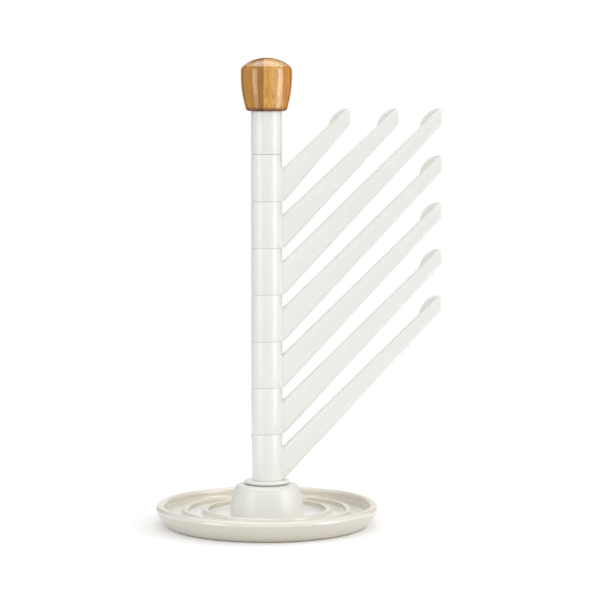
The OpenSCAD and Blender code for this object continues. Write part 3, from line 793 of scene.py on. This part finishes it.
grip = {"width": 2.6, "round": 0.5}
foot, top = levels("grip_ring")
gripIn, gripOut = gripMiddle - grip["width"] / 2, gripMiddle + grip["width"] / 2
piece = turned("gripRing", roundedOutline([
    (gripIn, foot, grip["round"]), (gripOut, foot, grip["round"]), (gripOut, top, 0),
    (gripIn, top, 0)]), 192)
dress(piece, silicone, "stand", "grip_ring")
print("tray and grip ring made")

# knob

knob = {"radius": 18.2, "footRadius": 15.1, "waist": 26.6, "bowShare": 40, "dome": 27,
        "shoulder": 4.4, "edge": 3, "hole": 5.85, "holeDepth": 15}
foot, top = levels("knob")
middle, domeZ = knob["radius"] - knob["shoulder"], top - knob["dome"]
spread = knob["dome"] - knob["shoulder"]
turn = math.degrees(math.acos(middle / spread))
shoulder = (middle, domeZ + spread * math.sin(math.radians(turn)))
outline = [(knob["hole"], foot)]
outline += arcPoints((knob["footRadius"] - knob["edge"], foot + knob["edge"]), knob["edge"],
                     -90, -8, 12)
outline += bowPoints((knob["footRadius"], foot + knob["edge"]),
                     (knob["radius"], foot + knob["waist"]), (top - foot) / knob["bowShare"], 20)
outline += arcPoints(shoulder, knob["shoulder"], 0, turn, 12)
outline += [p for p in arcPoints((0, domeZ), knob["dome"], turn, 90, 28) if p[0] < shoulder[0]]
outline[-1] = (0, top)
outline += [(0, foot + knob["holeDepth"]), (knob["hole"], foot + knob["holeDepth"])]
piece = turned("bambooKnob", outline, 160)
dress(piece, bamboo, "stand", "knob")
print("knob made")

# hardware that stays as the frame has it

glides = [f"glide_washer_{k}" for k in range(1, arm["count"] + 2)]
for names, material in ((["spindle", "clamp_washer", "clamp_nut"], zinc), (["knob_insert"], brass),
                        (glides, nylon)):
    for name in names:
        cadNodes[name].data.materials[0] = material
print("hardware dressed")

# studio; between the two radii in liftReach, the floor's glow goes up from one value in
# lift to the other

studio = {"world": 0.56, "floorShade": "#F2F2F2", "floorRadius": 420, "floorDrop": 0.1,
          "lift": (0.16, 1.0), "liftReach": (75, 240)}
white = (1, 1, 1, 1)

world = bpy.data.worlds.new("studioWorld")
bpy.context.scene.world = world
world.use_nodes = True
tree = world.node_tree
tree.nodes.clear()
paths = addNode(tree, "ShaderNodeLightPath")
seen = addNode(tree, "ShaderNodeMath", {"operation": "MAXIMUM"},
               {0: paths.outputs["Is Camera Ray"], 1: paths.outputs["Is Glossy Ray"]})
seenToo = addNode(tree, "ShaderNodeMath", {"operation": "MAXIMUM"},
                  {0: seen.outputs[0], 1: paths.outputs["Is Transmission Ray"]})
fill = addNode(tree, "ShaderNodeBackground", {"Color": white, "Strength": studio["world"]})
backdrop = addNode(tree, "ShaderNodeBackground", {"Color": white, "Strength": 1.0})
both = addNode(tree, "ShaderNodeMixShader", None,
               {0: seenToo.outputs[0], 1: fill.outputs[0], 2: backdrop.outputs[0]})
addNode(tree, "ShaderNodeOutputWorld", None, {"Surface": both.outputs[0]})

form = bmesh.new()
bmesh.ops.create_circle(form, cap_ends=True, segments=96, radius=studio["floorRadius"] * mm)
floor = formObject("studioFloor", form)
floor.location.z = -studio["floorDrop"] * mm
floor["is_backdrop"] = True

# the floor keeps the rack's shadow and melts into the white backdrop further out
floorMaterial = bpy.data.materials.new("paintedSweep")
floorMaterial.use_nodes = True
tree = floorMaterial.node_tree
tree.nodes.clear()
paths = addNode(tree, "ShaderNodeLightPath")
place = addNode(tree, "ShaderNodeTexCoord")
away = addNode(tree, "ShaderNodeVectorMath", {"operation": "LENGTH"}, {0: place.outputs["Object"]})
lift = addNode(tree, "ShaderNodeMapRange", {"interpolation_type": "SMOOTHSTEP",
               "From Min": studio["liftReach"][0] * mm, "From Max": studio["liftReach"][1] * mm,
               "To Min": studio["lift"][0], "To Max": studio["lift"][1]},
               {"Value": away.outputs["Value"]})
matt = addNode(tree, "ShaderNodeBsdfDiffuse", {"Color": linearColor(studio["floorShade"])})
glow = addNode(tree, "ShaderNodeEmission", {"Color": white}, {"Strength": lift.outputs["Result"]})
lifted = addNode(tree, "ShaderNodeAddShader", None, {0: matt.outputs[0], 1: glow.outputs[0]})
seen = addNode(tree, "ShaderNodeMath", {"operation": "MAXIMUM"},
               {0: paths.outputs["Is Camera Ray"], 1: paths.outputs["Is Glossy Ray"]})
choice = addNode(tree, "ShaderNodeMixShader", None,
                 {0: seen.outputs[0], 1: matt.outputs[0], 2: lifted.outputs[0]})
addNode(tree, "ShaderNodeOutputMaterial", None, {"Surface": choice.outputs[0]})
floor.data.materials.append(floorMaterial)

# place is azimuth from the camera's side towards +X, elevation and distance, size is width
# and height, both in metres, and power is in watts. The gleams only draw highlights; a lamp
# with its gloss off draws none.
lamps = {
    "softboxFront": {"place": (0, 22, 1.9), "size": (1.4, 0.6), "power": 5.3},
    "softboxRight": {"place": (58, 7, 1.3), "size": (0.3, 0.9), "power": 3.2},
    "softboxSide": {"place": (95, 20, 1.3), "size": (0.6, 1.0), "power": 3.6, "gloss": False},
    "softboxLeft": {"place": (-54, 7, 1.4), "size": (0.5, 0.9), "power": 3.3},
    "overhead": {"place": (0, 86, 1.4), "size": (1.0, 1.0), "power": 4.2},
    "backlight": {"place": (180, 28, 1.3), "size": (1.4, 0.5), "power": 3.0, "gloss": False},
    "gleamRight": {"place": (68, 0, 1.3), "size": (0.5, 1.6), "power": 12, "diffuse": False},
    "gleamLeft": {"place": (-54, 0, 1.3), "size": (0.55, 1.6), "power": 6, "diffuse": False},
    "gleamTop": {"place": (180, 80, 1.3), "size": (1.6, 1.2), "power": 16, "diffuse": False},
}
aim = Vector((30, 0, 160)) * mm


# where something stands that faces its target, and how it is turned
def facing(place, target):
    azimuth, elevation, distance = place
    a, e = math.radians(azimuth), math.radians(elevation)
    way = Vector((math.sin(a) * math.cos(e), -math.cos(a) * math.cos(e), math.sin(e)))
    return target + way * distance, way.to_track_quat("Z", "Y").to_euler()


for name, lamp in lamps.items():
    light = bpy.data.lights.new(name, "AREA")
    light.shape = "RECTANGLE"
    light.size, light.size_y = lamp["size"]
    light.energy = lamp["power"]
    holder = bpy.data.objects.new(name, light)
    holder.location, holder.rotation_euler = facing(lamp["place"], aim)
    holder.visible_camera = False
    holder.visible_diffuse = lamp.get("diffuse", True)
    holder.visible_glossy = lamp.get("gloss", True)
    bpy.context.scene.collection.objects.link(holder)

# black cards seen only in reflections, placed like the lamps: two behind the rack draw the
# column's edges, and a small one behind the knob keeps its dome from hazing over
flags = {
    "flagLeft": {"place": (-138, 6, 1.3), "size": (0.75, 1.7), "target": aim},
    "flagRight": {"place": (142, 6, 1.3), "size": (0.52, 1.7), "target": aim},
    "flagKnob": {"place": (180, 20, 0.12), "size": (0.08, 0.1),
                 "target": Vector((0, 0, 325)) * mm},
}
cardMaterial = newMaterial("blackCard", {"Base Color": linearColor("#101010"),
                                         "Roughness": 0.9})[0]
for name, flag in flags.items():
    form = bmesh.new()
    bmesh.ops.create_grid(form, x_segments=1, y_segments=1, size=0.5)
    bmesh.ops.scale(form, vec=(*flag["size"], 1), verts=form.verts)
    card = formObject(name, form)
    card.location, card.rotation_euler = facing(flag["place"], flag["target"])
    card.data.materials.append(cardMaterial)
    card.visible_camera = card.visible_diffuse = card.visible_shadow = False
    card.visible_transmission = False
    card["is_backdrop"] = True
print("studio lit")

low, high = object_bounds()
